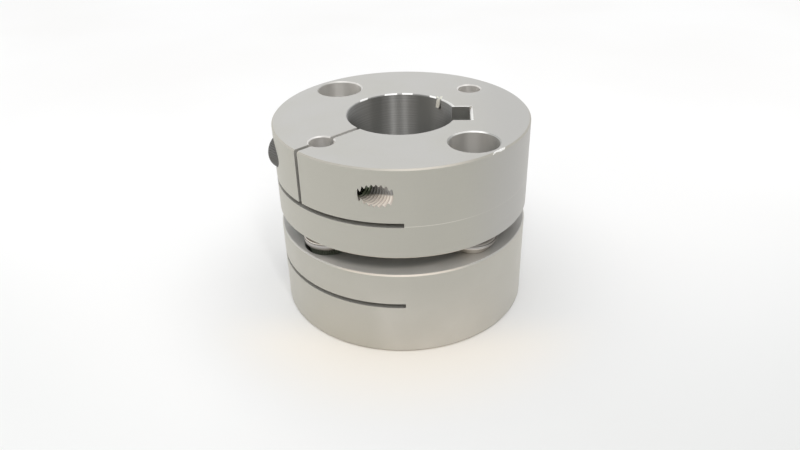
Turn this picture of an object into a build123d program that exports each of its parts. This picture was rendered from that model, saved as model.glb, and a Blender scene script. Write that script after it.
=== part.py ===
from build123d import *
import math
import os

# Flexible disc coupling with two clamp hubs, for joining two 24 mm keyed shafts end to end.
#
# The two hubs are the same turned part, and one is turned over about the keyway's axis. Each hub
# is sawn part-way round and split through to its bore, so that a screw across the split pulls
# its outer end tight on the shaft. Between the hubs lies a pack of thin spring plates. Two of
# the plates' four eyes are bolted to one hub and two to the other, each with a collar and a shim
# washer on the hub's side and a thicker washer under the bolt's head. Each head reaches into a
# hole of the other hub.
#
# Frame: Z is the shaft axis, z = 0 is the lower hub's outer face, +X runs along both keyways.

# Driving dimensions, in millimetres and degrees.
OUTER_D = 57.0
HUB_LENGTH = 20.0
HUB_GAP = 4.1
EDGE_CHAMFER = 0.3

BORE_D = 24.0
BORE_MOUTH_CHAMFER = 0.2
BORE_INNER_CHAMFER = 0.5
KEYWAY_WIDTH = 8.0
KEYWAY_BOTTOM = 15.3
KEYWAY_SIDE_CHAMFER = 0.15
KEYWAY_END_CHAMFER = 0.55

BOLT_CIRCLE_D = 44.0
TAPPED_HOLE_ANGLES = (45.0, 225.0)
ACCESS_HOLE_ANGLES = (135.0, 315.0)
BOLT_END_HOLE_D = 5.3
ACCESS_HOLE_D = 10.5
HOLE_CHAMFER = 0.25

SAW_CUT_WIDTH = 1.0
SAW_CUT_DEPTH = 12.25
SAW_D = 125.0
SAW_CENTRE_X = -53.9
SPLIT_ANGLE = 225.0
SPLIT_WIDTH = 1.0

THREAD_D = 5.0
THREAD_RUNNING_GAP = 0.05
SCREW_HEAD_D = 8.7
SCREW_HEAD_LENGTH = 5.0
SCREW_EDGE = 0.25
HEX_SOCKET = 4.0
HEX_SOCKET_DEPTH = 2.6

CLAMP_SCREW_RADIUS = 22.4
CLAMP_SCREW_DEPTH = 5.8
CLAMP_SCREW_LENGTH = 20.0
CLAMP_SEAT = 8.7
CLAMP_COUNTERBORE_D = 9.2
CLAMP_CLEARANCE_D = 5.4

PLATE_COUNT = 4
PLATE_THICKNESS = 0.12
PLATE_HOLE_D = 27.5
PLATE_WAIST_D = 39.7
PLATE_EYE_D = 11.0
PLATE_BLEND = 5.0
PLATE_BOLT_HOLE_D = 5.1

COLLAR_D = 8.9
WASHER_D = 10.8
STACK_HOLE_D = 5.2
STACK_EDGE = 0.1
SHIM_THICKNESS = 0.3
WASHER_THICKNESS = 0.9
WASHER_EDGE = 0.4
DISC_BOLT_LENGTH = 10.0

# Sizes that follow from these.
PACK_THICKNESS = PLATE_COUNT * PLATE_THICKNESS
COLLAR_THICKNESS = (HUB_GAP - PACK_THICKNESS) / 2 - SHIM_THICKNESS
PACK_MIDDLE = HUB_LENGTH + HUB_GAP / 2
TOTAL_LENGTH = 2 * HUB_LENGTH + HUB_GAP
FLANGE_THICKNESS = HUB_LENGTH - SAW_CUT_DEPTH - SAW_CUT_WIDTH / 2
OVERCUT = 1.0


def on_bolt_circle(angle, z=0.0):
    """Location of a bolt's axis on the bolt circle."""
    radius = BOLT_CIRCLE_D / 2
    return Pos(radius * math.cos(math.radians(angle)), radius * math.sin(math.radians(angle)), z)


def standing_cylinder(diameter, bottom, top):
    """Cylinder on the Z axis between two heights."""
    height = top - bottom
    return Pos(0, 0, bottom + height / 2) * Cylinder(diameter / 2, height)


def mouth_cone(diameter, chamfer, face_z, inwards):
    """45 degree chamfer cutter for a hole's mouth, where inwards is +1 for up and -1 for down."""
    wide = diameter / 2 + chamfer + OVERCUT
    height = wide - diameter / 2
    middle = face_z + inwards * (height / 2 - OVERCUT)
    if inwards > 0:
        return Pos(0, 0, middle) * Cone(wide, diameter / 2, height)
    return Pos(0, 0, middle) * Cone(diameter / 2, wide, height)


def hub_blank():
    """Turned ring with its edge chamfers, inner face at z = 0 and outer face at HUB_LENGTH."""
    outer, bore, top, edge = OUTER_D / 2, BORE_D / 2, HUB_LENGTH, EDGE_CHAMFER
    inner, mouth = BORE_INNER_CHAMFER, BORE_MOUTH_CHAMFER
    section = Polyline(
        (bore, inner),
        (bore + inner, 0),
        (outer - edge, 0),
        (outer, edge),
        (outer, top - edge),
        (outer - edge, top),
        (bore + mouth, top),
        (bore, top - mouth),
        close=True,
    )
    return revolve(Plane.XZ * make_face(section), axis=Axis.Z)


def keyway_cutter():
    """Straight keyway along the bore, with its edges broken at both ends of the hub."""
    slot = Box(KEYWAY_BOTTOM, KEYWAY_WIDTH, HUB_LENGTH + 2 * OVERCUT)
    cutters = [Pos(KEYWAY_BOTTOM / 2, 0, HUB_LENGTH / 2) * slot]
    end, side = KEYWAY_END_CHAMFER, KEYWAY_SIDE_CHAMFER
    for face_z, inwards in ((0, 1), (HUB_LENGTH, -1)):
        end_bevel = Polyline(
            (KEYWAY_BOTTOM, face_z),
            (KEYWAY_BOTTOM + end, face_z),
            (KEYWAY_BOTTOM, face_z + inwards * end),
            close=True,
        )
        cutters.append(extrude(Plane.XZ * make_face(end_bevel), KEYWAY_WIDTH / 2, both=True))
        side_bevel = Polyline(
            (-KEYWAY_WIDTH / 2 - side, face_z),
            (KEYWAY_WIDTH / 2 + side, face_z),
            (KEYWAY_WIDTH / 2, face_z + inwards * side),
            (-KEYWAY_WIDTH / 2, face_z + inwards * side),
            close=True,
        )
        cutters.append(extrude(Plane.YZ * make_face(side_bevel), KEYWAY_BOTTOM))
    return cutters


def tapped_hole_cutter():
    """Hole for a disc bolt: threaded in the flange, and a little wider from there to the outer face."""
    return [
        standing_cylinder(THREAD_D, -OVERCUT, HUB_LENGTH),
        standing_cylinder(BOLT_END_HOLE_D, FLANGE_THICKNESS, HUB_LENGTH + OVERCUT),
        mouth_cone(THREAD_D, HOLE_CHAMFER, 0, 1),
        mouth_cone(BOLT_END_HOLE_D, HOLE_CHAMFER, HUB_LENGTH, -1),
    ]


def access_hole_cutter():
    """Hole that takes the other hub's bolt head and lets a hex key reach it."""
    return [
        standing_cylinder(ACCESS_HOLE_D, -OVERCUT, HUB_LENGTH + OVERCUT),
        mouth_cone(ACCESS_HOLE_D, HOLE_CHAMFER, 0, 1),
        mouth_cone(ACCESS_HOLE_D, HOLE_CHAMFER, HUB_LENGTH, -1),
    ]


def saw_cut_cutters():
    """Saw cut part-way round, which frees the clamp end, and the split through it to the bore."""
    cut_z = HUB_LENGTH - SAW_CUT_DEPTH
    saw = Pos(SAW_CENTRE_X, 0, cut_z) * Cylinder(SAW_D / 2, SAW_CUT_WIDTH)
    reach = OUTER_D / 2 + OVERCUT
    height = SAW_CUT_DEPTH + OVERCUT
    split = Pos(reach / 2, 0, cut_z + height / 2) * Box(reach, SPLIT_WIDTH, height)
    return [saw, Rot(0, 0, SPLIT_ANGLE) * split]


def clamp_axis():
    """Location on the split's middle plane with +Z pointing along the clamp screw to its head."""
    across = Plane(
        origin=(CLAMP_SCREW_RADIUS, 0, HUB_LENGTH - CLAMP_SCREW_DEPTH),
        x_dir=(0, 0, 1),
        z_dir=(0, -1, 0),
    )
    return Rot(0, 0, SPLIT_ANGLE) * Location(across)


def clamp_screw_cutters():
    """Counterbore and clearance hole in one jaw, threaded hole through the other."""
    holes = [
        standing_cylinder(CLAMP_COUNTERBORE_D, CLAMP_SEAT, OUTER_D / 2),
        standing_cylinder(CLAMP_CLEARANCE_D, 0, CLAMP_SEAT + OVERCUT),
        standing_cylinder(THREAD_D, -OUTER_D / 2, 0),
    ]
    return [clamp_axis() * hole for hole in holes]


def clamp_hub():
    """The finished hub, inner face at z = 0."""
    hub = hub_blank() - keyway_cutter()
    for angle in TAPPED_HOLE_ANGLES:
        hub -= [on_bolt_circle(angle) * cutter for cutter in tapped_hole_cutter()]
    for angle in ACCESS_HOLE_ANGLES:
        hub -= [on_bolt_circle(angle) * cutter for cutter in access_hole_cutter()]
    hub -= saw_cut_cutters()
    return hub - clamp_screw_cutters()


def socket_screw(length):
    """Hex socket head screw, with the head's seat at z = 0 and its top at SCREW_HEAD_LENGTH."""
    head = standing_cylinder(SCREW_HEAD_D, 0, SCREW_HEAD_LENGTH)
    head = chamfer(head.edges().filter_by(GeomType.CIRCLE).sort_by(Axis.Z)[-1], SCREW_EDGE)
    shank = standing_cylinder(THREAD_D - THREAD_RUNNING_GAP, -length, 0)
    shank = chamfer(shank.edges().filter_by(GeomType.CIRCLE).sort_by(Axis.Z)[0], SCREW_EDGE)
    hexagon = RegularPolygon(HEX_SOCKET / math.sqrt(3), 6)
    socket = extrude(Pos(0, 0, SCREW_HEAD_LENGTH) * hexagon, -HEX_SOCKET_DEPTH)
    return head + shank - socket


def disc_plate():
    """One spring plate: a ring with four eyes, its underside at z = 0."""
    angles = TAPPED_HOLE_ANGLES + ACCESS_HOLE_ANGLES
    outline = Circle(PLATE_WAIST_D / 2)
    outline += [on_bolt_circle(angle) * Circle(PLATE_EYE_D / 2) for angle in angles]
    outline = fillet(outline.vertices(), PLATE_BLEND)
    outline -= Circle(PLATE_HOLE_D / 2)
    outline -= [on_bolt_circle(angle) * Circle(PLATE_BOLT_HOLE_D / 2) for angle in angles]
    return extrude(outline, PLATE_THICKNESS)


def ring(diameter, hole, thickness):
    """Flat ring standing on z = 0."""
    return standing_cylinder(diameter, 0, thickness) - standing_cylinder(hole, -OVERCUT, thickness + OVERCUT)


def outer_edges(body, diameter):
    """The circular edges of a ring at a given diameter, from the lowest up."""
    edges = body.edges().filter_by(GeomType.CIRCLE)
    return edges.filter_by(lambda edge: abs(edge.radius - diameter / 2) < 1e-3).sort_by(Axis.Z)


def spacer(diameter, thickness):
    """Collar or shim washer between a hub's face and the plates, standing on z = 0."""
    body = ring(diameter, STACK_HOLE_D, thickness)
    return chamfer(outer_edges(body, diameter), STACK_EDGE)


def washer():
    """Washer under a bolt's head, with the rounded edge that faces the head at z = 0."""
    body = ring(WASHER_D, STACK_HOLE_D, WASHER_THICKNESS)
    body = chamfer(outer_edges(body, WASHER_D)[-1], STACK_EDGE)
    return fillet(outer_edges(body, WASHER_D)[0], WASHER_EDGE)


def bolt_stack():
    """Spacers, washer and bolt of one eye, for a bolt whose head points down, z = 0 mid-pack."""
    washer_z = -PACK_THICKNESS / 2 - WASHER_THICKNESS
    return {
        "collar": Pos(0, 0, PACK_THICKNESS / 2 + SHIM_THICKNESS) * spacer(COLLAR_D, COLLAR_THICKNESS),
        "shim_washer": Pos(0, 0, PACK_THICKNESS / 2) * spacer(WASHER_D, SHIM_THICKNESS),
        "washer": Pos(0, 0, washer_z) * washer(),
        "disc_bolt": Pos(0, 0, washer_z) * Rot(180, 0, 0) * socket_screw(DISC_BOLT_LENGTH),
    }


def coupling():
    """All the pieces in place, by node name."""
    hub = clamp_hub()
    screw = clamp_axis() * Pos(0, 0, CLAMP_SEAT) * socket_screw(CLAMP_SCREW_LENGTH)
    upper = Pos(0, 0, HUB_LENGTH + HUB_GAP)
    turned_over = Pos(0, 0, HUB_LENGTH) * Rot(180, 0, 0)
    pieces = {
        "upper_hub": upper * hub,
        "lower_hub": turned_over * hub,
        "upper_clamp_screw": upper * screw,
        "lower_clamp_screw": turned_over * screw,
    }
    plate = disc_plate()
    for number in range(PLATE_COUNT):
        height = PACK_MIDDLE - PACK_THICKNESS / 2 + number * PLATE_THICKNESS
        pieces[f"disc_plate_{number + 1}"] = Pos(0, 0, height) * plate
    stack = bolt_stack()
    for name, piece in stack.items():
        for number, angle in enumerate(TAPPED_HOLE_ANGLES, start=1):
            pieces[f"upper_{name}_{number}"] = on_bolt_circle(angle, PACK_MIDDLE) * piece
        for number, angle in enumerate(ACCESS_HOLE_ANGLES, start=1):
            pieces[f"lower_{name}_{number}"] = on_bolt_circle(angle, PACK_MIDDLE) * Rot(180, 0, 0) * piece
    return pieces


os.makedirs("parts", exist_ok=True)
for node, shape in coupling().items():
    export_step(shape, f"parts/{node}.step")
print(f"length {TOTAL_LENGTH:.1f} mm, collar {COLLAR_THICKNESS:.2f} mm, flange {FLANGE_THICKNESS:.2f} mm")
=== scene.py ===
"""Looks of a flexible disc coupling that stands on end on a pale surface.

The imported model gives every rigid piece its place. This script dresses those pieces, swaps the
plain screws for knurled and threaded ones, adds the open threads' turns and a flake of burr, and
sets the light and the camera. All lengths are in metres and all places are in the frame of the
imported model: Z is the shaft axis, z = 0 is the face that the coupling stands on, and +X runs along
both keyways.
"""

import logging
import math
from dataclasses import dataclass
from enum import Enum
from functools import cached_property
from typing import Any, Callable, Iterable

import bpy
from mathutils import Matrix, Vector


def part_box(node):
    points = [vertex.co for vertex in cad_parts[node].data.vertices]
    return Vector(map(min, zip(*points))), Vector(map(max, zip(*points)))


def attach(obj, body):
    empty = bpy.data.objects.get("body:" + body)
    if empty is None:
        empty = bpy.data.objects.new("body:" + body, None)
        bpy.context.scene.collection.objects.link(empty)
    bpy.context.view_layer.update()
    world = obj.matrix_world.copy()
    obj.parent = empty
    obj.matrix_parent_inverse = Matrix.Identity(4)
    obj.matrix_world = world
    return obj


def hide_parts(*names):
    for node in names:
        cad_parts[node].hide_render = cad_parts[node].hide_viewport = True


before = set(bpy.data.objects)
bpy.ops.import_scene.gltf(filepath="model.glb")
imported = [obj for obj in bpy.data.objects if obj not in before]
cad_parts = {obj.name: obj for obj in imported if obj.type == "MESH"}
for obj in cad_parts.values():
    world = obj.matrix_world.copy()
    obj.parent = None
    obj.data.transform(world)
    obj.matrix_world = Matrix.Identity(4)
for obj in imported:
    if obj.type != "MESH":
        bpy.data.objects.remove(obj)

Colour = tuple[float, float, float]
Span = tuple[float, float]
Layer = tuple["Wire", Any]
Options = dict[Any, Any] | None

MM = 0.001
NEAR = 0.02 * MM  # how far a mask reaches past the surface that it marks
CLEAR = 0.03 * MM  # how far a mask stays from the turned outside or from an edge
DIAGONAL = math.sqrt(0.5)
ROOT = "root"
log = logging.getLogger("disc_coupling")


def mm(*values: float) -> tuple[float, ...]:
    """Millimetres as metres."""
    return tuple(value * MM for value in values)


def dimmed(colour: Colour, share: float) -> Colour:
    """A colour with each channel at a share of its value."""
    return tuple(channel * share for channel in colour)


# ---------------------------------------------------------------------------------------------
# The coupling's sizes, from the frame
# ---------------------------------------------------------------------------------------------


def place_of(node: str) -> tuple[Vector, Vector]:
    """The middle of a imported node's box and the box's three sides."""
    low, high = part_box(node)
    return (low + high) / 2, high - low


HUB_RADIUS = place_of("upper_hub")[1].x / 2
HUB_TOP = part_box("upper_hub")[1].z
MIDDLE = HUB_TOP / 2


def around(azimuth: float, elevation: float, distance: float) -> Vector:
    """A place at a distance from the coupling's middle, by its angles in degrees."""
    turn, rise = math.radians(azimuth), math.radians(elevation)
    flat, up = distance * math.cos(rise), distance * math.sin(rise)
    return Vector((flat * math.cos(turn), flat * math.sin(turn), MIDDLE + up))


class Half(Enum):
    """The two hubs. The lower one is the upper one turned over about the keyways' direction."""

    UPPER = "upper"
    LOWER = "lower"

    def placing(self) -> Matrix:
        """The move that brings what is modelled on the upper hub to this hub."""
        if self is Half.UPPER:
            return Matrix.Identity(4)
        middle = Matrix.Translation((0.0, 0.0, MIDDLE))
        return middle @ Matrix.Rotation(math.pi, 4, "X") @ middle.inverted()

    def heads_point(self) -> float:
        """1 where this hub's disc bolts have their heads up, and -1 where they point down."""
        return -1.0 if self is Half.UPPER else 1.0


@dataclass(frozen=True)
class HubShape:
    """Sizes of one hub in its own frame, with heights counted from the middle of the coupling."""

    face: float = HUB_TOP - MIDDLE
    gap_half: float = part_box("upper_hub")[0].z - MIDDLE
    edge_chamfer: float = 0.3 * MM
    bore_radius: float = 12.0 * MM
    bore_chamfer: float = 0.2 * MM
    keyway_half: float = 4.0 * MM
    keyway_end: float = 15.3 * MM
    keyway_side_chamfer: float = 0.15 * MM
    keyway_end_chamfer: float = 0.55 * MM
    bolt_spot: float = 22.0 * MM * DIAGONAL
    wide_hole_radius: float = 5.25 * MM
    small_hole_radius: float = 2.65 * MM
    hole_chamfer: float = 0.25 * MM
    cut_depth: float = 12.25 * MM
    cut_half: float = 0.5 * MM
    line_height: float = 9.47 * MM
    clamp_radius: float = 22.4 * MM
    clamp_depth: float = 5.8 * MM
    clamp_seat: float = 8.7 * MM
    clamp_length: float = 20.0 * MM
    counterbore_radius: float = 4.6 * MM
    thread_radius: float = 2.5 * MM

    def clamp_axis(self) -> Matrix:
        """Place on the split's middle whose +Z runs along the upper clamp screw to its head."""
        outwards = Vector((-DIAGONAL, -DIAGONAL, 0.0))
        along = Vector((-DIAGONAL, DIAGONAL, 0.0))
        spot = outwards * self.clamp_radius
        spot.z = HUB_TOP - self.clamp_depth
        turn = Matrix((outwards, along.cross(outwards), along)).transposed()
        return Matrix.Translation(spot) @ turn.to_4x4()


HUB = HubShape()


# ---------------------------------------------------------------------------------------------
# Modelling
# ---------------------------------------------------------------------------------------------


@dataclass
class Solid:
    """One piece under work, shaped with the modelling operators."""

    shape: bpy.types.Object

    @classmethod
    def prism(cls, sides: int, radius: float, bottom: float, top: float) -> "Solid":
        """A prism on the Z axis, with its corners at this radius and its ends at these heights."""
        bpy.ops.object.select_all(action="DESELECT")
        bpy.ops.mesh.primitive_cylinder_add(
            vertices=sides,
            radius=radius,
            depth=top - bottom,
            location=(0.0, 0.0, (bottom + top) / 2),
        )
        bpy.ops.object.transform_apply(location=True, rotation=True, scale=True)
        return cls(bpy.context.active_object)

    @classmethod
    def sheet(cls, width: float, height: float, at: Vector) -> "Solid":
        """An upright rectangle along X, round its middle, with no thickness yet."""
        bpy.ops.object.select_all(action="DESELECT")
        bpy.ops.mesh.primitive_plane_add(size=1.0, location=at, rotation=(math.pi / 2, 0.0, 0.0))
        made = cls(bpy.context.active_object)
        made.shape.scale = (width, height, 1.0)
        bpy.ops.object.transform_apply(location=True, rotation=True, scale=True)
        return made

    def activate(self) -> None:
        """Makes this the only selected object."""
        bpy.ops.object.select_all(action="DESELECT")
        self.shape.select_set(True)
        bpy.context.view_layer.objects.active = self.shape

    def pick(self, chosen: Callable[[Vector], bool], kind: str = "VERT") -> None:
        """Goes into edit mode with points, or faces by their middles, selected by their places."""
        self.activate()
        bpy.ops.object.mode_set(mode="EDIT")
        bpy.ops.mesh.select_mode(type=kind)
        bpy.ops.mesh.select_all(action="DESELECT")
        bpy.ops.object.mode_set(mode="OBJECT")
        mesh = self.shape.data
        if kind == "VERT":
            for vertex in mesh.vertices:
                vertex.select = chosen(vertex.co)
        else:
            for face in mesh.polygons:
                face.select = chosen(face.center)
        bpy.ops.object.mode_set(mode="EDIT")

    def close(self) -> None:
        """Leaves edit mode with all normals pointing outwards."""
        bpy.ops.mesh.select_all(action="SELECT")
        bpy.ops.mesh.normals_make_consistent(inside=False)
        bpy.ops.object.mode_set(mode="OBJECT")

    def clean(self, closest: float = 0.0005 * MM) -> None:
        """Merges points that lie closer than this and drops what is left over by joining solids."""
        self.pick(lambda point: True)
        bpy.ops.mesh.remove_doubles(threshold=closest)
        bpy.ops.mesh.dissolve_degenerate(threshold=closest)
        bpy.ops.mesh.delete_loose()
        self.close()

    def modify(self, kind: str, **settings: Any) -> None:
        """Adds a modifier with these properties and applies it."""
        self.activate()
        modifier = self.shape.modifiers.new(kind.lower(), kind)
        for name, value in settings.items():
            setattr(modifier, name, value)
        bpy.ops.object.modifier_apply(modifier=modifier.name)

    def combine(self, tool: "Solid", operation: str) -> None:
        """Joins, cuts or trims with another solid, which is used up."""
        self.modify("BOOLEAN", object=tool.shape, operation=operation, solver="EXACT")
        bpy.data.objects.remove(tool.shape)

    def placed(self, move: Matrix) -> "Solid":
        """A copy with its own mesh, moved in the mesh so that the object stays at the origin."""
        twin = self.shape.copy()
        twin.data = self.shape.data.copy()
        bpy.context.collection.objects.link(twin)
        made = Solid(twin)
        made.activate()
        twin.matrix_world = move
        bpy.ops.object.transform_apply(location=True, rotation=True, scale=True)
        return made

    def discard(self) -> None:
        """Removes a pattern whose copies are all in place."""
        bpy.data.objects.remove(self.shape)

    def deliver(
        self,
        name: str,
        slot: str,
        material: bpy.types.Material,
        node: str | None = None,
        smooth: float = 30.0,
    ) -> None:
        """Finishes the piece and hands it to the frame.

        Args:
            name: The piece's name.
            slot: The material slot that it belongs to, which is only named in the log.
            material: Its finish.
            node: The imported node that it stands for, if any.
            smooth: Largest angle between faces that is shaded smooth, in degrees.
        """
        self.activate()
        self.shape.name = name
        self.shape.data.name = name
        self.shape.data.materials.clear()
        self.shape.data.materials.append(material)
        bpy.ops.object.shade_smooth_by_angle(angle=math.radians(smooth))
        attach(self.shape, ROOT)
        if node is not None:
            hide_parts(node)
        log.info("%s: %d faces, slot %s, for %s", name, len(self.shape.data.polygons), slot, node)


@dataclass(frozen=True)
class Thread:
    """A coarse metric thread, by the radii of its crests and roots."""

    pitch: float = 0.8 * MM
    major: float = 2.475 * MM
    minor: float = 2.05 * MM
    foot_share: float = 0.875
    screw_taper: float = 0.15
    hole_taper: float = -0.25
    steps: int = 32

    def turns(self, bottom: float, top: float, inner: float, outer: float, taper: float) -> Solid:
        """The thread's ridge as a solid that winds round the Z axis.

        Args:
            bottom: Height at which it starts.
            top: Height that it reaches at least.
            inner: Its smallest radius.
            outer: Its largest radius.
            taper: Width of its narrow side as a share of its wide side, above 0 where the narrow
                side is the outer one and below 0 where it is the inner one.

        Returns:
            The ridge, closed at both ends.
        """
        start = Vector(((inner + outer) / 2, 0.0, bottom))
        ridge = Solid.sheet(outer - inner, self.foot_share * self.pitch, start)
        narrow = outer if taper > 0 else inner
        ridge.pick(lambda point: abs(point.x - narrow) < 0.01 * MM)
        centre = (narrow, 0.0, start.z)
        bpy.ops.transform.resize(value=(1.0, 1.0, abs(taper)), center_override=centre)
        bpy.ops.mesh.select_all(action="SELECT")
        bpy.ops.mesh.delete(type="ONLY_FACE")
        bpy.ops.object.mode_set(mode="OBJECT")
        ridge.modify(
            "SCREW",
            screw_offset=self.pitch,
            iterations=math.ceil((top - bottom) / self.pitch),
            steps=self.steps,
            render_steps=self.steps,
            use_merge_vertices=False,
        )
        ridge.pick(lambda point: True)
        bpy.ops.mesh.fill_holes(sides=4)
        ridge.close()
        return ridge


@dataclass(frozen=True)
class SocketScrew:
    """A hex socket head screw with a knurled head, its seat at z = 0 and its head above that."""

    length: float
    head_radius: float = 4.35 * MM
    head_length: float = 5.0 * MM
    knurls: int = 52
    knurl_depth: float = 0.17 * MM
    edge: float = 0.3 * MM
    round_sides: int = 96
    bite: float = 0.1 * MM
    hexagon: float = 4.0 * MM
    hexagon_depth: float = 2.6 * MM
    thread: Thread = Thread()

    def _head(self) -> Solid:
        """The knurled head with its rounded top edge and its hex socket."""
        head = Solid.prism(2 * self.knurls, self.head_radius, 0.0, self.head_length)
        step = math.pi / self.knurls
        head.pick(lambda point: round(math.atan2(point.y, point.x) / step) % 2 == 0)
        inwards = 1.0 - self.knurl_depth / self.head_radius
        bpy.ops.transform.resize(value=(inwards, inwards, 1.0), center_override=(0.0, 0.0, 0.0))
        head.close()
        slack = 0.01 * MM
        blank = Solid.prism(self.round_sides, self.head_radius + slack, -slack, self.head_length)
        blank.pick(lambda middle: middle.z > self.head_length - slack, "FACE")
        bpy.ops.mesh.bevel(offset=self.edge, segments=3)
        blank.close()
        head.combine(blank, "INTERSECT")
        floor = self.head_length - self.hexagon_depth
        socket = Solid.prism(6, self.hexagon / math.sqrt(3), floor, self.head_length + 1.0 * MM)
        head.combine(socket, "DIFFERENCE")
        return head

    def _shank(self) -> Solid:
        """The threaded shank with its chamfered end."""
        thread = self.thread
        shank = Solid.prism(thread.steps, thread.minor, -self.length - thread.pitch, 0.5 * MM)
        start, end = -self.length - 0.6 * thread.pitch, -0.4 * thread.pitch
        ridge = thread.turns(start, end, thread.minor - self.bite, thread.major, thread.screw_taper)
        shank.combine(ridge, "UNION")
        blank = Solid.prism(self.round_sides, thread.major + 0.05 * MM, -self.length, 1.0 * MM)
        blank.pick(lambda middle: middle.z < -self.length + 0.01 * MM, "FACE")
        bpy.ops.mesh.bevel(offset=0.5 * thread.pitch)
        blank.close()
        shank.combine(blank, "INTERSECT")
        return shank

    def pattern(self) -> Solid:
        """One screw, from which the others are copied."""
        screw = self._head()
        screw.combine(self._shank(), "UNION")
        screw.clean()
        return screw


# ---------------------------------------------------------------------------------------------
# Shader maths
# ---------------------------------------------------------------------------------------------


class Graph:
    """The node tree of a material or of the world."""

    def __init__(self, tree: bpy.types.NodeTree) -> None:
        """Takes a node tree and empties it."""
        self.tree = tree
        self.tree.nodes.clear()

    def node(self, kind: str, settings: Options = None, inputs: Options = None) -> bpy.types.Node:
        """Adds one node.

        Args:
            kind: The node's type, without the ShaderNode prefix.
            settings: Properties that are set before the sockets, such as a Math node's operation.
            inputs: Values or wires by socket name or number.

        Returns:
            The new node.
        """
        made = self.tree.nodes.new("ShaderNode" + kind)
        for name, value in (settings or {}).items():
            setattr(made, name, value)
        for name, value in (inputs or {}).items():
            self.feed(made.inputs[name], value)
        return made

    def feed(self, socket: bpy.types.NodeSocket, value: Any) -> None:
        """Links a wire or an output socket to a socket, or sets it to a number or a colour."""
        if isinstance(value, Wire):
            value = value.socket
        if isinstance(value, bpy.types.NodeSocket):
            self.tree.links.new(value, socket)
        elif socket.type == "RGBA":
            socket.default_value = (*value, 1.0)
        else:
            socket.default_value = value

    def wire(self, socket: bpy.types.NodeSocket) -> "Wire":
        """The output socket as a value that takes part in expressions."""
        return Wire(self, socket)

    def number(
        self, kind: str, output: str | int, settings: Options = None, inputs: Options = None
    ) -> "Wire":
        """Adds a node and gives one of its outputs as a wire."""
        return self.wire(self.node(kind, settings, inputs).outputs[output])

    def blend(self, factor: Any, low: Any, high: Any) -> bpy.types.NodeSocket:
        """Mixes two colours or colour sockets: low where the factor is 0, high where it is 1."""
        return self.node("Mix", {"data_type": "RGBA"}, {0: factor, 6: low, 7: high}).outputs[2]

    def layers(self, base: Any, layers: Iterable[Layer]) -> bpy.types.NodeSocket:
        """Lays colours over a base, lowest first, each where the mask beside it is 1."""
        for mask, colour in layers:
            base = self.blend(mask, base, colour)
        return base


class Wire:
    """A number on a socket. Python's operators on it add Math nodes."""

    def __init__(self, graph: Graph, socket: bpy.types.NodeSocket) -> None:
        """Wraps an output socket of a graph."""
        self.graph = graph
        self.socket = socket

    def _math(self, operation: str, *values: Any) -> "Wire":
        """A Math node on these values."""
        inputs = dict(enumerate(values))
        return self.graph.number("Math", 0, {"operation": operation}, inputs)

    def __add__(self, other: Any) -> "Wire":
        """self + other"""
        return self._math("ADD", self, other)

    __radd__ = __add__

    def __sub__(self, other: Any) -> "Wire":
        """self - other"""
        return self._math("SUBTRACT", self, other)

    def __rsub__(self, other: Any) -> "Wire":
        """other - self"""
        return self._math("SUBTRACT", other, self)

    def __mul__(self, other: Any) -> "Wire":
        """self * other"""
        return self._math("MULTIPLY", self, other)

    __rmul__ = __mul__

    def __pow__(self, other: Any) -> "Wire":
        """self ** other"""
        return self._math("POWER", self, other)

    def __lt__(self, other: Any) -> "Wire":
        """1 where self is below other"""
        return self._math("LESS_THAN", self, other)

    def __gt__(self, other: Any) -> "Wire":
        """1 where self is above other"""
        return self._math("GREATER_THAN", self, other)

    def most(self, other: Any) -> "Wire":
        """The larger of two values."""
        return self._math("MAXIMUM", self, other)

    def size(self) -> "Wire":
        """The value without its sign."""
        return self._math("ABSOLUTE", self)

    def sign(self) -> "Wire":
        """1 above zero and -1 below it."""
        return self._math("SIGN", self)

    def ramp(self, low: float, high: float, start: float = 0.0, end: float = 1.0) -> "Wire":
        """A smooth step between two values.

        Args:
            low: Value at which the step starts.
            high: Value at which it ends.
            start: Result below low.
            end: Result above high.

        Returns:
            The smoothed value.
        """
        return self.graph.number(
            "MapRange",
            0,
            {"interpolation_type": "SMOOTHSTEP"},
            {"Value": self, "From Min": low, "From Max": high, "To Min": start, "To Max": end},
        )


def within(value: Wire, low: float, high: float) -> Wire:
    """1 where a value lies between two limits."""
    return (value > low) * (value < high)


def either(sign: Wire, above: float, below: float) -> Wire:
    """One number where a sign is 1 and another where it is -1."""
    return (above + below) / 2 + (above - below) / 2 * sign


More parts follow.
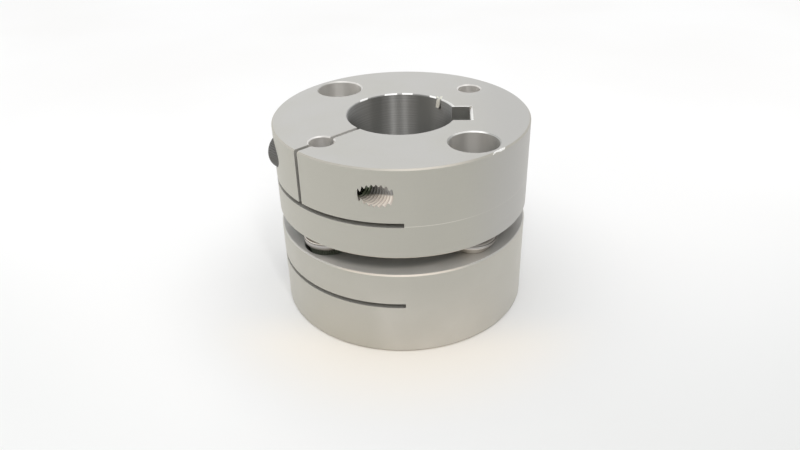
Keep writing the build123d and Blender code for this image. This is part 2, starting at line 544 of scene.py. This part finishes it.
class Surface(Graph):
    """A material's graph, with the object's own coordinates at hand."""

    def __init__(self, name: str) -> None:
        """Makes an empty material of this name."""
        self.material = bpy.data.materials.new(name)
        self.material.use_nodes = True
        super().__init__(self.material.node_tree)
        self.place = self.node("TexCoord").outputs["Object"]
        split = self.node("SeparateXYZ", inputs={0: self.place})
        self.x, self.y, self.z = (self.wire(split.outputs[i]) for i in range(3))
        self.radius = (self.x**2.0 + self.y**2.0) ** 0.5

    def noise(self, scale: float, detail: float = 2.0, along_z: float = 1.0) -> Wire:
        """Noise around 0.5 with this many cells per metre, and another share of them along Z."""
        mapped = self.node("Mapping", inputs={"Vector": self.place, "Scale": (1.0, 1.0, along_z)})
        inputs = {"Vector": mapped.outputs[0], "Scale": scale, "Detail": detail}
        return self.number("TexNoise", "Fac", {"noise_dimensions": "3D"}, inputs)

    def turning(self, scale: float) -> Wire:
        """Noise around 0.5 that is the same all the way round, as a lathe leaves it."""
        spot = self.node("CombineXYZ", inputs={"X": self.radius, "Z": self.z})
        inputs = {"Vector": spot.outputs[0], "Scale": scale}
        return self.number("TexNoise", "Fac", {"noise_dimensions": "3D"}, inputs)

    def bump(self, height: Wire, depth: float) -> bpy.types.NodeSocket:
        """A normal from heights between 0 and 1, where 1 stands for the depth."""
        inputs = {"Strength": 1.0, "Distance": depth, "Height": height}
        return self.node("Bump", inputs=inputs).outputs[0]

    def metal(self, inputs: dict[str, Any]) -> bpy.types.NodeSocket:
        """A Principled shader with these sockets fed, metallic unless they say otherwise."""
        return self.node("BsdfPrincipled", inputs={"Metallic": 1.0, **inputs}).outputs[0]

    def mix_shaders(self, factor: Wire, low: Any, high: Any) -> bpy.types.NodeSocket:
        """One shader where factor is 0 and the other where it is 1."""
        return self.node("MixShader", inputs={0: factor, 1: low, 2: high}).outputs[0]

    def show(self, shader: bpy.types.NodeSocket) -> bpy.types.Material:
        """Makes a shader the material's surface and gives the finished material."""
        self.node("OutputMaterial", inputs={"Surface": shader})
        return self.material


# ---------------------------------------------------------------------------------------------
# Finishes
# ---------------------------------------------------------------------------------------------


class HubSurface(Surface):
    """A hub's graph with masks of its machined surfaces and of painted light and shade, each 1
    inside and 0 elsewhere.

    The lower hub reads as the upper one turned over, so a mask fits both hubs unless it asks for
    the upper one. Tool marks and painted glints are given as spans along X or Y.
    """

    # Painted glints on the back of the bore's mouth, as spans along X, and a fainter one.
    GLINTS: tuple[Span, ...] = (mm(-4.4, -1.5), mm(-0.3, 2.2), mm(6.2, 7.7), mm(-9.8, -8.2))
    FAINT_GLINT: Span = mm(8.95, 12.0)
    NICK: Span = mm(19.1, 21.5)
    TORN_EDGE: Span = mm(7.7, 8.95)
    PRONGS: Span = mm(8.4, 10.4)

    def __init__(self, name: str) -> None:
        """Finds the coordinates in which both hubs read the same."""
        super().__init__(name)
        rise = self.z - MIDDLE
        self.upper = self.z > MIDDLE
        self.front = self.y < 0.0
        self.own_y = self.y * rise.sign()
        self.height = rise.size()
        self.depth = HUB.face - self.height
        self.inside = self.radius < HUB_RADIUS - CLEAR
        self.outside = self.radius > HUB_RADIUS - 0.1 * MM
        self.at_edge = self.radius > HUB_RADIUS - HUB.edge_chamfer - CLEAR
        self.outwards = (self.x + self.own_y) * -DIAGONAL
        self.across = (self.own_y - self.x) * DIAGONAL
        self.past_bolt = self.x.size() - HUB.bolt_spot
        self.above_cut = HUB.cut_depth - self.depth
        self.above_clamp = HUB.clamp_depth - self.depth
        self.off_clamp = ((self.outwards - HUB.clamp_radius) ** 2.0 + self.above_clamp**2.0) ** 0.5
        self.grain = self.noise(2500.0)
        self.lathe = self.turning(1500.0)

    @cached_property
    def keyway(self) -> Wire:
        """The keyway with its chamfers."""
        end = HUB.keyway_end + HUB.keyway_end_chamfer + NEAR
        half = HUB.keyway_half + HUB.keyway_side_chamfer + 0.01 * MM
        past_bore = self.radius > HUB.bore_radius + NEAR
        return within(self.x, 0.0, end) * (self.own_y.size() < half) * past_bore

    @cached_property
    def keyway_end(self) -> Wire:
        """The chamfer between the keyway's bottom and the hub's face."""
        return self.keyway * (self.x > HUB.keyway_end + NEAR)

    @cached_property
    def keyway_side(self) -> Wire:
        """The chamfer along the keyway's side towards -Y."""
        return self.keyway * (self.own_y < -HUB.keyway_half - CLEAR)

    @cached_property
    def keyway_edge(self) -> Wire:
        """The chamfer along the keyway's side towards +Y, near the face."""
        near_face = self.depth < HUB.edge_chamfer
        return self.keyway * (self.own_y > HUB.keyway_half + CLEAR) * near_face

    @cached_property
    def bore(self) -> Wire:
        """The bore with its chamfer."""
        return (self.radius < HUB.bore_radius + HUB.bore_chamfer + NEAR) * (1.0 - self.keyway)

    @cached_property
    def bore_mouth(self) -> Wire:
        """A narrow ring round the bore's mouth."""
        ring = within(self.radius, HUB.bore_radius + NEAR, HUB.bore_radius + 0.6 * MM)
        return ring * (self.depth < HUB.edge_chamfer)

    @cached_property
    def bore_shade(self) -> Wire:
        """Painted shade on the turned bore, in three bands."""
        middle = self.x.ramp(*mm(2, 4)) * self.x.ramp(*mm(6, 8.5), 1.0, 0.2)
        left = self.x.ramp(*mm(-8.2, -7), 0.0, 0.6) * self.x.ramp(*mm(-5.6, -4.6), 1.0, 0.0)
        right = self.x.ramp(*mm(8.5, 10.5), 0.0, 0.4)
        return middle.most(left).most(right)

    @cached_property
    def painted_glints(self) -> Wire:
        """Painted glints along the back of the bore's mouth and of the keyway."""
        glints = 0.5 * within(self.x, *self.FAINT_GLINT)
        for glint in self.GLINTS:
            glints = glints.most(within(self.x, *glint))
        return (self.bore_mouth * glints * (self.own_y > 0.0)).most(0.3 * self.keyway_edge)

    @cached_property
    def cut(self) -> Wire:
        """The walls of the saw cut part-way round the hub."""
        return (self.above_cut.size() < HUB.cut_half + NEAR) * self.inside

    @cached_property
    def split(self) -> Wire:
        """The walls of the split."""
        slot = (self.across.size() < HUB.cut_half + NEAR) * (self.outwards > 0.0)
        return slot * (self.above_cut > -HUB.cut_half - NEAR) * self.inside

    @cached_property
    def sawn(self) -> Wire:
        """All sawn walls."""
        return self.cut.most(self.split)

    @cached_property
    def split_inner(self) -> Wire:
        """The split between the bore and the clamp screw."""
        return self.split * (self.outwards < 20.0 * MM)

    @cached_property
    def clamp(self) -> Wire:
        """The clamp screw's hole: counterbore on one side of the split, thread on the other."""
        wall = either(self.across.sign(), HUB.counterbore_radius, HUB.thread_radius) + NEAR
        off_split = self.across.size() > HUB.cut_half + NEAR
        return (self.off_clamp < wall) * off_split * self.inside

    @cached_property
    def thread(self) -> Wire:
        """The clamp screw's threaded hole."""
        return self.clamp * (self.across < 0.0)

    @cached_property
    def thread_shade(self) -> Wire:
        """Painted shade on the top of the threaded hole, reaching lower the further in it lies."""
        return (self.above_clamp + 0.3 * (self.across + 14.6 * MM)).ramp(*mm(-1.65, -1.15))

    @cached_property
    def drilled(self) -> Wire:
        """The four axial holes, two wide and two small, and the counterbore."""
        past_bolt_y = self.own_y.size() - HUB.bolt_spot
        off_bolt = (self.past_bolt**2.0 + past_bolt_y**2.0) ** 0.5
        wall = either((self.x * self.own_y).sign(), HUB.small_hole_radius, HUB.wide_hole_radius)
        holes = off_bolt < wall + HUB.hole_chamfer + NEAR
        return holes.most(self.clamp * (self.across > 0.0))

    @cached_property
    def drilled_far(self) -> Wire:
        """Painted shade on the outer sides of the axial holes, and half as much at their inner
        edges.
        """
        outer = self.past_bolt.ramp(*mm(2, 5), 0.0, 0.8) * (1.0 - 0.4 * (self.x < 0.0))
        return outer.most(self.past_bolt.ramp(*mm(-5.2, -4), 0.5, 0.0))

    @cached_property
    def hole_edge(self) -> Wire:
        """The chamfer of the upper hub's front right hole."""
        return self.upper * (self.depth < HUB.hole_chamfer + NEAR) * (self.x > 0.0) * self.front

    @cached_property
    def hole_edge_lit(self) -> Wire:
        """The stretch of that chamfer that gets a painted highlight."""
        return self.past_bolt.ramp(*mm(-5.4, -3.2)) * self.past_bolt.ramp(*mm(1.6, 3.6), 1.0, 0.0)

    @cached_property
    def gap(self) -> Wire:
        """The faces that look at each other across the gap."""
        return (self.height < HUB.gap_half + NEAR) * (1.0 - self.bore)

    @cached_property
    def gap_lit(self) -> Wire:
        """Painted light on the outer part of those faces, outside the painted shadow of the facing
        flange.
        """
        return (((self.x + 2.0 * MM) ** 2.0 + self.y**2.0) ** 0.5).ramp(*mm(24.3, 26.3))

    @cached_property
    def rim(self) -> Wire:
        """The chamfer between the outside and the outer face."""
        return self.at_edge * (self.depth < HUB.edge_chamfer + CLEAR)

    @cached_property
    def front_rim_highlight(self) -> Wire:
        """Painted highlight on the front stretch of the gap's rims and on a part of the outer ones.
        """
        gap_rim = self.at_edge * (self.height < HUB.gap_half + HUB.edge_chamfer + NEAR)
        lit = gap_rim * self.x.ramp(*mm(-15, -9)) + self.rim * self.x.ramp(*mm(-8, 6), 0.0, 0.42)
        return lit * self.x.ramp(*mm(11, 17), 1.0, 0.0) * self.front

    @cached_property
    def faint_line(self) -> Wire:
        """A thin lighter line round the upper hub, which fades to the right."""
        line = (self.height - HUB.line_height).size() < 0.08 * MM
        return self.upper * line * self.outside * self.x.ramp(*mm(10, 18), 1.0, 0.15)

    @cached_property
    def nick(self) -> Wire:
        """A ragged nick on the upper hub's front rim."""
        ragged = (self.noise(1300.0, detail=3.0) - 0.5) * (0.7 * MM)
        on_edge = (self.radius + ragged > HUB_RADIUS - 0.4 * MM) * (self.depth - ragged < 0.22 * MM)
        return self.upper * on_edge * within(self.x + ragged, *self.NICK) * self.front

    @cached_property
    def burr(self) -> Wire:
        """Bare metal round the foot of the flake: two leaning prongs and the torn edge."""
        on_top = self.upper * (self.depth < NEAR) * (self.radius > HUB.bore_radius)
        lean = self.y - 8.8 * MM
        left = (self.x - 8.25 * MM + 0.15 * lean).size() < 0.16 * MM
        right = (self.x - 8.75 * MM - 0.18 * lean).size() < 0.26 * MM
        prongs = left.most(right) * within(self.y, *self.PRONGS) * on_top
        torn = self.bore_mouth * self.upper * within(self.x, *self.TORN_EDGE)
        return prongs.most(torn * (self.y > 0.0))


@dataclass(frozen=True)
class HubFinish:
    """Clear anodised aluminium, with a bare turned bore, a broached keyway and sawn slots, and
    painted light and shade in many places.
    """

    anodised: Colour = (0.55, 0.54, 0.517)
    anodised_side: Colour = (0.535, 0.522, 0.468)
    # Painted light from the floor, low down on the lower hub's side.
    anodised_lit_low: Colour = (0.675, 0.655, 0.612)
    worn_share: float = 0.965
    shaded_share: float = 0.925
    edge: Colour = (0.50, 0.48, 0.43)
    # Painted highlight on the front rims.
    edge_highlight: Colour = (0.69, 0.635, 0.56)
    faint_line: Colour = (0.69, 0.67, 0.615)
    # Bare metal at the nick, and the colour of the painted glints and highlights.
    bright: Colour = (0.97, 0.96, 0.93)
    burr: Colour = (0.72, 0.71, 0.62)
    drilled: Colour = (0.88, 0.86, 0.83)
    # Painted shade: darker walls on the holes towards the front right, and darker still on their far
    # sides.
    drilled_front_shade: Colour = (0.75, 0.73, 0.70)
    drilled_shade: Colour = (0.45, 0.45, 0.43)
    sawn: Colour = (0.55, 0.54, 0.51)
    sawn_inner: Colour = (0.78, 0.765, 0.74)
    # The gap's faces: painted shadow of the facing flange on their inner part, lighter towards +X,
    # and painted light outside it, brighter at the front than at the sides.
    faced: Colour = (0.57, 0.57, 0.55)
    faced_deep: Colour = (0.69, 0.68, 0.655)
    faced_front_lit: Colour = (0.94, 0.92, 0.88)
    faced_side_shade: Colour = (0.50, 0.49, 0.47)
    # The thread: lit crests, painted shade in the roots, and painted shade over its top and deeper
    # in, tinted green deepest.
    threaded: Colour = (0.98, 0.91, 0.82)
    threaded_root_shade: Colour = (0.72, 0.65, 0.60)
    threaded_side: Colour = (0.38, 0.37, 0.36)
    threaded_shade: Colour = (0.34, 0.335, 0.32)
    threaded_deep: Colour = (0.42, 0.50, 0.36)
    bare_dark: Colour = (0.46, 0.455, 0.44)
    bare_light: Colour = (0.54, 0.535, 0.52)
    # Painted shade in bands on the bore.
    bare_shade: Colour = (0.38, 0.38, 0.365)
    broached: Colour = (0.54, 0.54, 0.52)
    broached_side: Colour = (0.20, 0.20, 0.19)

    def _skin_colour(self, s: HubSurface) -> bpy.types.NodeSocket:
        """The colour of the anodised skin and of the faces that were sawn and faced before it, with
        painted light and shade laid over them.
        """
        # Painted light from the floor: the lower hub's side is lighter low down, most towards the
        # right, and the upper hub gets none.
        high_up = s.z.ramp(*mm(0, 24)) * s.x.ramp(*mm(-10, 15), 1.0, 0.75)
        high_up = high_up.most(s.upper).most(s.x.ramp(*mm(-7, 1), 0.75, 0.0))
        blotches = s.noise(55.0, detail=3.0).ramp(0.35, 0.65)
        faced = s.blend(s.x.ramp(*mm(12, 20)), self.faced, self.faced_deep)
        faced_front_lit = s.blend(s.y.ramp(*mm(-26, -10)), self.faced_front_lit, self.faced_side_shade)
        return s.layers(
            self.anodised,
            (
                (s.outside, s.blend(high_up, self.anodised_lit_low, self.anodised_side)),
                (0.4 * blotches, dimmed(self.anodised_side, self.worn_share)),
                # Painted shade on the upper hub towards its right.
                (s.upper * s.x.ramp(*mm(12, 24)), dimmed(self.anodised, self.shaded_share)),
                (s.sawn, s.blend(s.split_inner, self.sawn, self.sawn_inner)),
                (s.gap, s.blend(s.gap_lit, faced, faced_front_lit)),
                (s.rim, self.edge),
                (s.front_rim_highlight, self.edge_highlight),
                (s.faint_line, self.faint_line),
                (s.nick, self.bright),
                (s.burr, self.burr),
            ),
        )

    def _skin_shader(self, s: HubSurface) -> bpy.types.NodeSocket:
        """Matt skin with faint lathe marks."""
        return s.metal(
            {
                "Base Color": self._skin_colour(s),
                "Metallic": 0.75 - 0.15 * s.sawn,
                "Roughness": 0.43 + 0.1 * s.grain + 0.05 * s.lathe,
                "Normal": s.bump(0.6 * s.grain + 0.4 * s.lathe, 0.006 * MM),
            }
        )

    def _turned_shader(self, s: HubSurface) -> bpy.types.NodeSocket:
        """The bare bore, whose fine turning marks stretch its reflections along the axis, with bands
        of painted shade.
        """
        bare = s.blend(s.turning(3500.0).ramp(0.4, 0.6), self.bare_dark, self.bare_light)
        return s.metal(
            {
                "Base Color": s.blend(s.bore_shade, bare, self.bare_shade),
                "Roughness": 0.42 + 0.06 * s.lathe,
                "Anisotropic": 1.0,
                "Anisotropic Rotation": 0.25,
            }
        )

    def _drilled_shader(self, s: HubSurface) -> bpy.types.NodeSocket:
        """Drilled walls, with painted shade on their far sides and towards the front right, and a
        painted highlight on one chamfer.
        """
        near = s.blend((s.y - s.x).ramp(*mm(-20, 25)), self.drilled_front_shade, self.drilled)
        walls = s.blend(s.drilled_far, near, self.drilled_shade)
        edge = s.blend(s.hole_edge_lit, self.drilled_shade, self.bright)
        return s.metal(
            {
                "Base Color": s.blend(s.hole_edge, walls, edge),
                "Metallic": 0.75,
                "Roughness": 0.42 + 0.08 * s.grain,
                "Anisotropic": 0.85,
                "Anisotropic Rotation": 0.25,
            }
        )

    def _threaded_shader(self, s: HubSurface) -> bpy.types.NodeSocket:
        """The cut thread, with lit crests and painted shade in its roots, over its top and deeper
        in.
        """
        deep = s.across.ramp(*mm(-13.8, -13))
        shade = s.blend(s.across.ramp(*mm(-19.5, -14)), self.threaded_side, self.threaded_shade)
        shade = s.blend(deep, shade, self.threaded_deep)
        crests = s.blend(s.off_clamp.ramp(*mm(2.12, 2.4)), self.threaded, self.threaded_root_shade)
        return s.metal(
            {
                "Base Color": s.blend(s.thread_shade, crests, shade),
                "Metallic": 0.1 + 0.5 * s.thread_shade,
                "Roughness": 0.28 + 0.1 * s.grain,
            }
        )

    def material(self) -> bpy.types.Material:
        """The finished material."""
        s = HubSurface("hub_finish")
        broached = s.blend(s.keyway_side, self.broached, self.broached_side)
        broached = s.metal({"Base Color": broached, "Roughness": 0.45 + 0.1 * s.grain})
        bright = s.metal({"Base Color": self.bright, "Roughness": 0.3 + 0.1 * s.grain})
        bare = s.mix_shaders(s.keyway, self._turned_shader(s), broached)
        body = s.mix_shaders(s.thread, self._skin_shader(s), self._threaded_shader(s))
        body = s.mix_shaders(s.drilled, body, self._drilled_shader(s))
        body = s.mix_shaders(s.bore.most(s.keyway), body, bare)
        # Painted glints on the bore's mouth and the keyway's edge, and the bare chamfer at the
        # keyway's end.
        return s.show(s.mix_shaders(s.painted_glints.most(s.keyway_end), body, bright))


@dataclass(frozen=True)
class SteelFinish:
    """Turned or rolled stainless steel, with painted shade towards the hubs and on the right."""

    name: str
    colour: Colour = (0.52, 0.50, 0.475)
    painted_shade: Colour = (0.20, 0.185, 0.165)
    shade_from: float = 5.0 * MM
    shade_to: float = 6.0 * MM
    roughness: float = 0.28

    def material(self) -> bpy.types.Material:
        """The finished material."""
        s = Surface(self.name)
        grain = s.noise(4000.0, along_z=0.2)
        height = (s.z - MIDDLE).size()
        # Painted shade, darker towards the hubs and on the right.
        steel_shade = height.ramp(self.shade_from, self.shade_to).most(s.x.ramp(*mm(17, 20.5)))
        shader = s.metal(
            {
                "Base Color": s.blend(steel_shade, self.colour, self.painted_shade),
                "Roughness": self.roughness + 0.1 * grain,
                "Normal": s.bump(grain, 0.002 * MM),
            }
        )
        return s.show(shader)


@dataclass(frozen=True)
class BurrFinish:
    """Crumpled bare aluminium with a yellowish tint."""

    colour: Colour = (0.88, 0.85, 0.76)
    folded_share: float = 0.85

    def material(self) -> bpy.types.Material:
        """The finished material."""
        s = Surface("burr_finish")
        crumple = s.noise(3500.0, detail=3.0)
        folded = dimmed(self.colour, self.folded_share)
        shader = s.metal(
            {
                "Base Color": s.blend(crumple.ramp(0.4, 0.6), self.colour, folded),
                "Metallic": 0.2,
                "Roughness": 0.5 + 0.2 * crumple,
                "Normal": s.bump(crumple, NEAR),
            }
        )
        return s.show(shader)


@dataclass(frozen=True)
class BlackOxideFinish:
    """Black oxide on alloy steel screws."""

    name: str
    colour: Colour = (0.14, 0.137, 0.13)

    def material(self) -> bpy.types.Material:
        """The finished material."""
        s = Surface(self.name)
        grain = s.noise(3000.0, detail=3.0)
        shader = s.metal(
            {
                "Base Color": self.colour,
                "Metallic": 0.7,
                "Roughness": 0.36 + 0.15 * grain,
                "Normal": s.bump(grain, 0.003 * MM),
            }
        )
        return s.show(shader)


@dataclass(frozen=True)
class FloorPaint:
    """White paint, with painted warm light reflected in front of the coupling, painted shadow beside
    it and painted shade towards the viewer.
    """

    white: Colour = (0.955, 0.955, 0.955)
    cloudy: Colour = (0.93, 0.925, 0.92)
    # Painted shade towards the two front corners.
    right_front_shade: Colour = (0.76, 0.765, 0.76)
    left_front_shade: Colour = (0.87, 0.875, 0.87)
    # Painted shadow beside the coupling.
    beside: Colour = (0.865, 0.865, 0.865)
    # Painted warm light reflected from the coupling onto the floor in front of it.
    warm_reflection: Colour = (0.98, 0.935, 0.87)

    def material(self) -> bpy.types.Material:
        """The finished material."""
        s = Surface("floor_paint")
        before = s.radius.ramp(*mm(30, 54), 1.0, 0.0) * s.y.ramp(*mm(-30, -12), 1.0, 0.0)
        colour = s.layers(
            self.cloudy,
            (
                (s.noise(9.0).ramp(0.3, 0.7), self.white),
                ((0.6 * s.x - s.y).ramp(*mm(0, 130)), self.right_front_shade),
                ((-1.0 * s.x - 1.2 * s.y).ramp(*mm(80, 140)), self.left_front_shade),
                (s.radius.ramp(*mm(30, 65), 1.0, 0.0), self.beside),
                (before, self.warm_reflection),
            ),
        )
        return s.show(s.node("BsdfDiffuse", inputs={"Color": colour}).outputs[0])


# ---------------------------------------------------------------------------------------------
# Studio
# ---------------------------------------------------------------------------------------------


@dataclass(frozen=True)
class Softbox:
    """A tall narrow light that faces the coupling, with angles in degrees and power in watts."""

    name: str
    azimuth: float
    power: float
    elevation: float = 50.0
    distance: float = 1.0
    width: float = 0.06
    height: float = 0.35

    def build(self) -> None:
        """Puts up the lamp."""
        spot = around(self.azimuth, self.elevation, self.distance)
        aim = Vector((0.0, 0.0, MIDDLE)) - spot
        turn = aim.to_track_quat("-Z", "Y").to_euler()
        bpy.ops.object.light_add(type="AREA", location=spot, rotation=turn)
        lamp = bpy.context.active_object
        lamp.name = self.name
        lamp.data.shape = "RECTANGLE"
        lamp.data.size = self.width
        lamp.data.size_y = self.height
        lamp.data.energy = self.power


@dataclass(frozen=True)
class Studio:
    """Floor, lamps, world and camera, with angles in degrees."""

    lens: float = 32.209
    sensor: float = 36.0
    distance: float = 169.92 * MM
    elevation: float = 28.565
    azimuth: float = 273.2
    look_down: float = 1.9729
    turn: float = 0.3154
    roll: float = -1.3901
    floor_size: float = 8.0
    sky: float = 1.08
    sky_slope: float = 0.16
    sky_colour: Colour = (0.98, 0.99, 1.0)
    front_sky: float = 0.1
    front_colour: Colour = (1.0, 0.88, 0.70)
    lamps: tuple[Softbox, ...] = (
        Softbox("left_softbox", azimuth=263.0, power=0.72),
        Softbox("right_softbox", azimuth=294.0, power=0.95),
    )

    def floor(self) -> None:
        """A wide pale surface under the coupling."""
        bpy.ops.mesh.primitive_plane_add(size=self.floor_size, location=(0.0, 0.0, 0.0))
        floor = bpy.context.active_object
        floor.name = "studio_floor"
        floor.data.materials.append(FloorPaint().material())

    def world(self) -> None:
        """A pale surround, dimmer and warmer low down in front, where the viewer stands."""
        world = bpy.data.worlds.new("surround")
        bpy.context.scene.world = world
        world.use_nodes = True
        g = Graph(world.node_tree)
        split = g.node("SeparateXYZ", inputs={0: g.node("TexCoord").outputs["Generated"]})
        x, y, z = (g.wire(split.outputs[i]) for i in range(3))
        front = y.ramp(-0.9, 0.65, 1.0, 0.0) * z.ramp(0.1, 0.8, 1.0, 0.0)
        strength = self.sky * (1.0 - self.sky_slope * x) - (self.sky - self.front_sky) * front
        tint = g.blend(front, self.sky_colour, self.front_colour)
        sky = g.node("Background", inputs={"Color": tint, "Strength": strength})
        g.node("OutputWorld", inputs={"Surface": sky.outputs[0]})

    def camera(self) -> None:
        """The camera, which looks down at the coupling's front from its right."""
        heading = self.azimuth + self.turn - 270.0
        tilt = 90.0 - self.elevation - self.look_down
        turned = Matrix.Identity(4)
        for angle, axis in ((heading, "Z"), (tilt, "X"), (self.roll, "Z")):
            turned = turned @ Matrix.Rotation(math.radians(angle), 4, axis)
        spot = around(self.azimuth, self.elevation, self.distance)
        bpy.ops.object.camera_add(location=spot, rotation=turned.to_euler())
        camera = bpy.context.active_object
        camera.name = "view_camera"
        camera.data.lens = self.lens
        camera.data.sensor_width = self.sensor
        camera.data.clip_start = 1.0 * MM
        bpy.context.scene.camera = camera

    def build(self) -> None:
        """Sets up the whole studio."""
        bpy.context.scene.view_settings.view_transform = "Standard"
        self.floor()
        self.world()
        for lamp in self.lamps:
            lamp.build()
        self.camera()


# ---------------------------------------------------------------------------------------------
# Assembly
# ---------------------------------------------------------------------------------------------


def dress(nodes: Iterable[str], material: bpy.types.Material) -> None:
    """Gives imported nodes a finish."""
    for name in nodes:
        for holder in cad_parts[name].material_slots:
            holder.material = material
        log.info("dressed %s with %s", name, material.name)


def nodes_called(part: str, without: str = " ") -> list[str]:
    """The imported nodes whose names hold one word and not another."""
    return sorted(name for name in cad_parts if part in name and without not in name)


@dataclass(frozen=True)
class BurrFlake:
    """A thin flake left by the boring tool, which hangs over the mouth of the upper bore.

    Each point of its line holds, in millimetres, the distance from the shaft axis, the height, the
    shift sideways, and half of the flake's width there.
    """

    angle: float = 46.6
    thickness: float = 0.07 * MM
    rounding: float = 0.02 * MM
    line: tuple[tuple[float, float, float, float], ...] = (
        (11.60, 42.00, -0.05, 0.44),
        (11.74, 42.30, -0.03, 0.54),
        (11.86, 42.90, 0.00, 0.55),
        (11.92, 43.50, 0.02, 0.52),
        (12.02, 43.88, 0.03, 0.47),
        (12.16, 44.02, 0.04, 0.40),
    )

    def build(self, material: bpy.types.Material) -> None:
        """Models the flake as a strip along its middle line that is given a thickness."""
        points = [mm(*point) for point in self.line]
        out, up, side, half = points[0]
        height = points[1][1] - up
        middle = up + height / 2
        flake = Solid.sheet(2 * half, height, Vector((side, out, middle)))
        flake.pick(lambda place: place.z > middle)
        self._shift(points[0], points[1], rise=0.0)
        for before, after in zip(points[1:], points[2:]):
            bpy.ops.mesh.extrude_edges_move()
            self._shift(before, after, rise=after[1] - before[1])
        bpy.ops.mesh.select_all(action="SELECT")
        bpy.ops.object.mode_set(mode="OBJECT")
        flake.modify("SOLIDIFY", thickness=self.thickness, offset=0.0)
        flake.modify("BEVEL", width=self.rounding, segments=2)
        placed = flake.placed(Matrix.Rotation(math.radians(self.angle - 90.0), 4, "Z"))
        flake.discard()
        placed.deliver("bore_burr_flake", "hub", material)

    @staticmethod
    def _shift(before: tuple[float, ...], after: tuple[float, ...], rise: float) -> None:
        """Moves and widens the selected edge from one point of the middle line to the next."""
        bpy.ops.transform.translate(value=(after[2] - before[2], after[0] - before[0], rise))
        centre = (after[2], after[0], after[1])
        bpy.ops.transform.resize(value=(after[3] / before[3], 1.0, 1.0), center_override=centre)


@dataclass
class Fasteners:
    """The coupling's screws and the turns of its open threads."""

    disc_bolt: bpy.types.Material
    clamp_screw: bpy.types.Material
    hub: bpy.types.Material
    disc_bolt_length: float = 10.0 * MM
    disc_bolt_spin: float = 23.0
    cutter_sides: int = 256

    def disc_bolts(self) -> None:
        """The four bolts of the plates, two of which point up and two down."""
        screw = SocketScrew(self.disc_bolt_length)
        pattern = screw.pattern()
        for half in Half:
            for number in (1, 2):
                node = f"{half.value}_disc_bolt_{number}"
                seat, sides = place_of(node)
                heads = half.heads_point()
                seat.z += heads * (sides.z / 2 - screw.head_length)
                turn = Matrix.Rotation(0.0 if heads > 0 else math.pi, 4, "X")
                spin = Matrix.Rotation(math.radians(self.disc_bolt_spin * number), 4, "Z")
                bolt = pattern.placed(Matrix.Translation(seat) @ turn @ spin)
                bolt.deliver(f"{node}_knurled", "disc_bolt", self.disc_bolt, node)
        pattern.discard()

    def clamp_screws(self) -> None:
        """The screw across each hub's split."""
        pattern = SocketScrew(HUB.clamp_length).pattern()
        for half in Half:
            seat = HUB.clamp_axis() @ Matrix.Translation((0.0, 0.0, HUB.clamp_seat))
            node = f"{half.value}_clamp_screw"
            screw = pattern.placed(half.placing() @ seat)
            screw.deliver(f"{node}_knurled", "clamp_screw", self.clamp_screw, node)
        pattern.discard()

    def open_threads(self) -> None:
        """The turns of each hub's clamp thread that lie past the end of the screw."""
        thread = Thread()
        end = HUB.clamp_seat - HUB.clamp_length
        span = (-HUB_RADIUS, end - thread.pitch)
        turns = thread.turns(*span, thread.minor, HUB.thread_radius + NEAR, thread.hole_taper)
        turns = self._moved(turns, HUB.clamp_axis())
        hub = Solid.prism(self.cutter_sides, HUB_RADIUS - NEAR, 0.0, 2 * HUB_TOP)
        turns.combine(hub, "INTERSECT")
        for half in Half:
            turned = turns.placed(half.placing())
            turned.deliver(f"{half.value}_clamp_thread_turns", "hub", self.hub)
        turns.discard()

    @staticmethod
    def _moved(solid: Solid, move: Matrix) -> Solid:
        """The solid itself, moved in its mesh."""
        made = solid.placed(move)
        solid.discard()
        return made

    def build(self) -> None:
        """Models everything."""
        self.disc_bolts()
        self.clamp_screws()
        self.open_threads()


def main() -> None:
    """Builds the coupling's looks and the studio."""
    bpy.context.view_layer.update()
    bpy.ops.object.select_all(action="DESELECT")
    Studio().build()
    hub_finish = HubFinish().material()
    dress(nodes_called("_hub"), hub_finish)
    dress(nodes_called("disc_plate"), SteelFinish("spring_steel", (0.46, 0.44, 0.42)).material())
    collar = SteelFinish("collar_steel", (0.38, 0.355, 0.32))
    # Painted shade on the washers towards the hubs.
    painted_shade = dict(shade_from=0.2 * MM, shade_to=0.75 * MM)
    washer = SteelFinish("washer_steel", (0.44, 0.415, 0.39), **painted_shade)
    shim = SteelFinish("shim_steel", (0.76, 0.71, 0.65))
    dress(nodes_called("collar"), collar.material())
    dress(nodes_called("washer", without="shim"), washer.material())
    dress(nodes_called("shim"), shim.material())
    Fasteners(
        disc_bolt=BlackOxideFinish("disc_bolt_oxide", (0.33, 0.36, 0.30)).material(),
        clamp_screw=BlackOxideFinish("clamp_screw_oxide").material(),
        hub=hub_finish,
    ).build()
    BurrFlake().build(BurrFinish().material())


if __name__ == "__main__":
    logging.basicConfig(level=logging.INFO, format="%(name)s: %(message)s")
    main()
